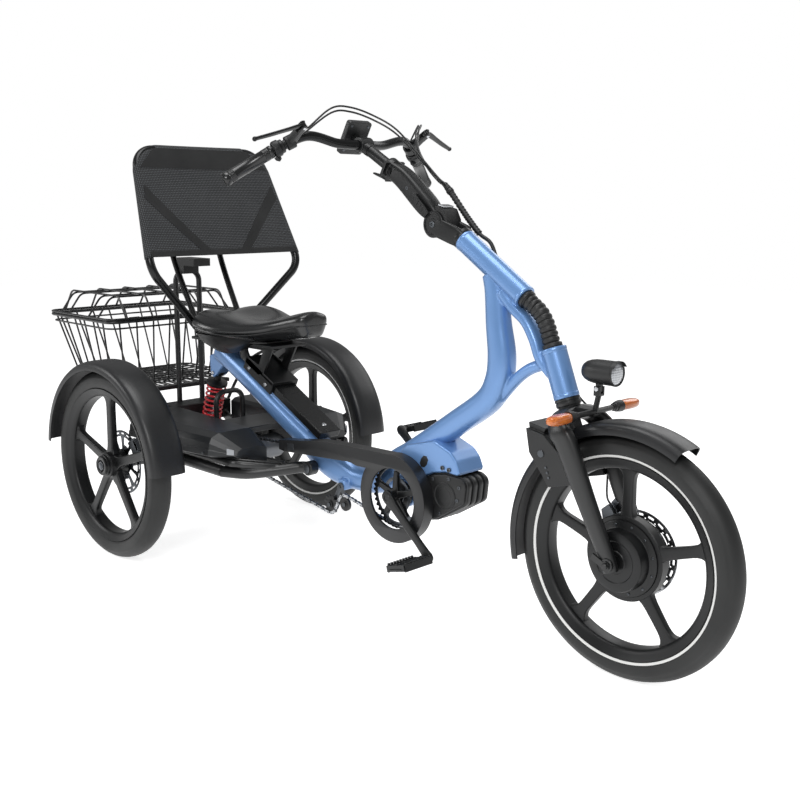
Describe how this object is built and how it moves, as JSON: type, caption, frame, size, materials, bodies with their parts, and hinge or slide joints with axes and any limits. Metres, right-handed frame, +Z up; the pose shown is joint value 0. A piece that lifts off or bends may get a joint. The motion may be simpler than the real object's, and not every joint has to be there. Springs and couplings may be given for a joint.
{
  "type": "semi-recumbent tricycle",
  "caption": "Semi-recumbent tricycle: low curved frame, hub-motor front wheel, sprung rear frame with covers, reclined mesh seat and wire basket.",
  "frame": {"origin": "middle of the footprint on the ground, halfway between the front tyre's foremost point and the basket's rear rim", "axes": "+X forward, +Y to the rider's left, +Z up"},
  "size_m": [2.2122, 0.806, 1.1758],
  "materials": {
    "blue_paint": "satin light blue paint",
    "black_paint": "satin black powder coat",
    "black_satin": "satin black anodised metal",
    "rubber": "matt black rubber",
    "tyre": "matt black tyre rubber",
    "black_plastic": "matt black moulded plastic",
    "grey_plastic": "dark grey moulded plastic with a light grain",
    "steel": "ground steel",
    "aluminium": "dull cast aluminium",
    "red_paint": "gloss red powder coat",
    "vinyl": "smooth black vinyl, slightly glossy",
    "mesh_fabric": "black woven mesh",
    "amber_lens": "clear amber lens plastic",
    "screen": "gloss black screen"
  },
  "bodies": {
    "frame": {"main_frame": "blue_paint", "motor_unit": "black_plastic", "steering_boot": "rubber", "chain_guard": "black_plastic", "chain": "steel", "seat_rail": "black_paint", "tensioner_arm": "black_satin"},
    "fork": {"fork": "black_paint", "front_mudguard": "black_plastic", "ring_lock": "black_plastic", "lamp_bracket": "black_plastic", "indicator_right": "amber_lens", "indicator_left": "amber_lens"},
    "lamp": {"headlight": "black_plastic"},
    "front_wheel": {"front_rim": "black_satin", "front_hub_motor": "black_satin", "front_tyre": "tyre", "front_disc": "steel"},
    "steering": {"steering_shaft": "black_paint", "cable_sleeve": "rubber"},
    "stem": {"stem_mast": "black_paint"},
    "mast_clamp": {"mast_lever": "black_satin"},
    "quill": {"stem_quill": "black_paint", "handlebar": "black_satin", "grip_right": "rubber", "grip_left": "rubber", "brake_perch_right": "black_satin", "brake_perch_left": "black_satin", "display": "screen", "cable_loom": "rubber"},
    "right_lever": {"brake_lever_right": "black_satin"},
    "left_lever": {"brake_lever_left": "black_satin"},
    "crank": {"crank_right": "black_satin", "crank_left": "black_satin", "chainring": "black_satin"},
    "right_pedal": {"pedal_right": "black_plastic"},
    "left_pedal": {"pedal_left": "black_plastic"},
    "rear_pulley": {"tensioner_pulley_rear": "black_plastic"},
    "front_pulley": {"tensioner_pulley_front": "black_plastic"},
    "hub_gear": {"gear_hub": "aluminium"},
    "swing": {"rear_frame": "black_paint", "rear_mudguard_right": "black_plastic", "rear_mudguard_left": "black_plastic", "rear_cover": "grey_plastic", "basket": "black_paint", "rear_carrier": "black_paint"},
    "lid": {"basket_lid": "black_paint"},
    "right_wheel": {"rear_rim_right": "black_satin", "rear_tyre_right": "tyre", "rear_disc_right": "steel"},
    "left_wheel": {"rear_rim_left": "black_satin", "rear_tyre_left": "tyre", "rear_disc_left": "steel"},
    "shock_upper": {"shock_body": "black_satin", "shock_spring": "red_paint"},
    "shock_lower": {"shock_rod": "steel"},
    "seat": {"saddle": "vinyl", "seat_carriage": "black_paint", "backrest_frame": "black_paint", "backrest_mesh": "mesh_fabric"}
  },
  "joints": [
    {"name": "suspension", "type": "hinge", "parent": "frame", "child": "swing", "pos_m": [-0.07963, 0, 0.276], "axis": [0, 1, 0], "range_deg": [-1, 3.7], "stiffness_Nm_per_rad": 6000, "springref_deg": -0.69, "deforming": ["shock_spring", "chain"]},
    {"name": "shock_body_swing", "type": "hinge", "parent": "frame", "child": "shock_upper", "pos_m": [-0.54263, 0, 0.467], "axis": [0, 1, 0], "range_deg": [-1.2, 3.6]},
    {"name": "shock_rod_swing", "type": "hinge", "parent": "swing", "child": "shock_lower", "pos_m": [-0.59563, 0, 0.3], "axis": [0, 1, 0], "range_deg": [-1.2, 0.8]},
    {"name": "fork_steer", "type": "hinge", "parent": "frame", "child": "fork", "pos_m": [0.62357, 0, 0.72716], "axis": [-0.3682, 0, 0.9298], "range_deg": [-40, 40]},
    {"name": "column_turn", "type": "hinge", "parent": "frame", "child": "steering", "pos_m": [0.39837, 0, 0.876], "axis": [-0.8343, 0, 0.5514], "range_deg": [-40, 40], "deforming": ["cable_sleeve"]},
    {"name": "headlight_tilt", "type": "hinge", "parent": "fork", "child": "lamp", "pos_m": [0.76737, 0, 0.5915], "axis": [0, 1, 0], "range_deg": [-15, 15]},
    {"name": "front_wheel_spin", "type": "hinge", "parent": "fork", "child": "front_wheel", "pos_m": [0.85037, 0, 0.25576], "axis": [0, 1, 0], "continuous": true},
    {"name": "stem_fold", "type": "hinge", "parent": "steering", "child": "stem", "pos_m": [0.32687, 0, 0.909], "axis": [0, 1, 0], "range_deg": [0, 60], "deforming": ["cable_loom"]},
    {"name": "mast_lever_swing", "type": "hinge", "parent": "stem", "child": "mast_clamp", "pos_m": [0.15626, 0, 1.00642], "axis": [0, -1, 0], "range_deg": [0, 90]},
    {"name": "quill_slide", "type": "slide", "parent": "stem", "child": "quill", "axis": [-0.87, 0, 0.493], "range_m": [0, 0.04], "deforming": ["cable_loom"]},
    {"name": "right_lever_pull", "type": "hinge", "parent": "quill", "child": "right_lever", "pos_m": [0.08787, -0.2008, 1.1243], "axis": [0.5443, 0.1082, -0.8319], "range_deg": [0, 25], "stiffness_Nm_per_rad": 0.4, "springref_deg": -20.05},
    {"name": "left_lever_pull", "type": "hinge", "parent": "quill", "child": "left_lever", "pos_m": [0.08787, 0.2008, 1.1243], "axis": [-0.5443, 0.1082, 0.8319], "range_deg": [0, 25], "stiffness_Nm_per_rad": 0.4, "springref_deg": -20.05},
    {"name": "crank_spin", "type": "hinge", "parent": "frame", "child": "crank", "pos_m": [0.24967, 0, 0.273], "axis": [0, 1, 0], "continuous": true},
    {"name": "right_pedal_spin", "type": "hinge", "parent": "crank", "child": "right_pedal", "pos_m": [0.38217, -0.106, 0.1587], "axis": [0, 1, 0], "continuous": true},
    {"name": "left_pedal_spin", "type": "hinge", "parent": "crank", "child": "left_pedal", "pos_m": [0.11717, 0.106, 0.3873], "axis": [0, 1, 0], "continuous": true},
    {"name": "rear_pulley_spin", "type": "hinge", "parent": "frame", "child": "rear_pulley", "pos_m": [0.01037, -0.058, 0.2], "axis": [0, 1, 0], "continuous": true},
    {"name": "front_pulley_spin", "type": "hinge", "parent": "frame", "child": "front_pulley", "pos_m": [0.06737, -0.058, 0.212], "axis": [0, 1, 0], "continuous": true},
    {"name": "gear_hub_spin", "type": "hinge", "parent": "swing", "child": "hub_gear", "pos_m": [-0.33963, 0, 0.28], "axis": [0, 1, 0], "continuous": true},
    {"name": "lid_swing", "type": "hinge", "parent": "swing", "child": "lid", "pos_m": [-1.10613, 0, 0.61365], "axis": [0, -1, 0], "range_deg": [0, 110]},
    {"name": "right_wheel_spin", "type": "hinge", "parent": "swing", "child": "right_wheel", "pos_m": [-0.54063, -0.353, 0.25576], "axis": [0, 1, 0], "continuous": true},
    {"name": "left_wheel_spin", "type": "hinge", "parent": "swing", "child": "left_wheel", "pos_m": [-0.54063, 0.353, 0.25576], "axis": [0, 1, 0], "continuous": true},
    {"name": "seat_slide", "type": "slide", "parent": "frame", "child": "seat", "axis": [0.8868, 0, -0.4621], "range_m": [0, 0.1]}
  ],
  "couplings": [
    {"joint": "shock_body_swing", "follows": "suspension", "ratio": 0.8},
    {"joint": "shock_rod_swing", "follows": "suspension", "ratio": -0.19},
    {"joint": "column_turn", "follows": "fork_steer", "ratio": 1},
    {"joint": "rear_pulley_spin", "follows": "crank_spin", "ratio": 3.4545},
    {"joint": "front_pulley_spin", "follows": "crank_spin", "ratio": -3.4545},
    {"joint": "gear_hub_spin", "follows": "crank_spin", "ratio": 1.9}
  ]
}
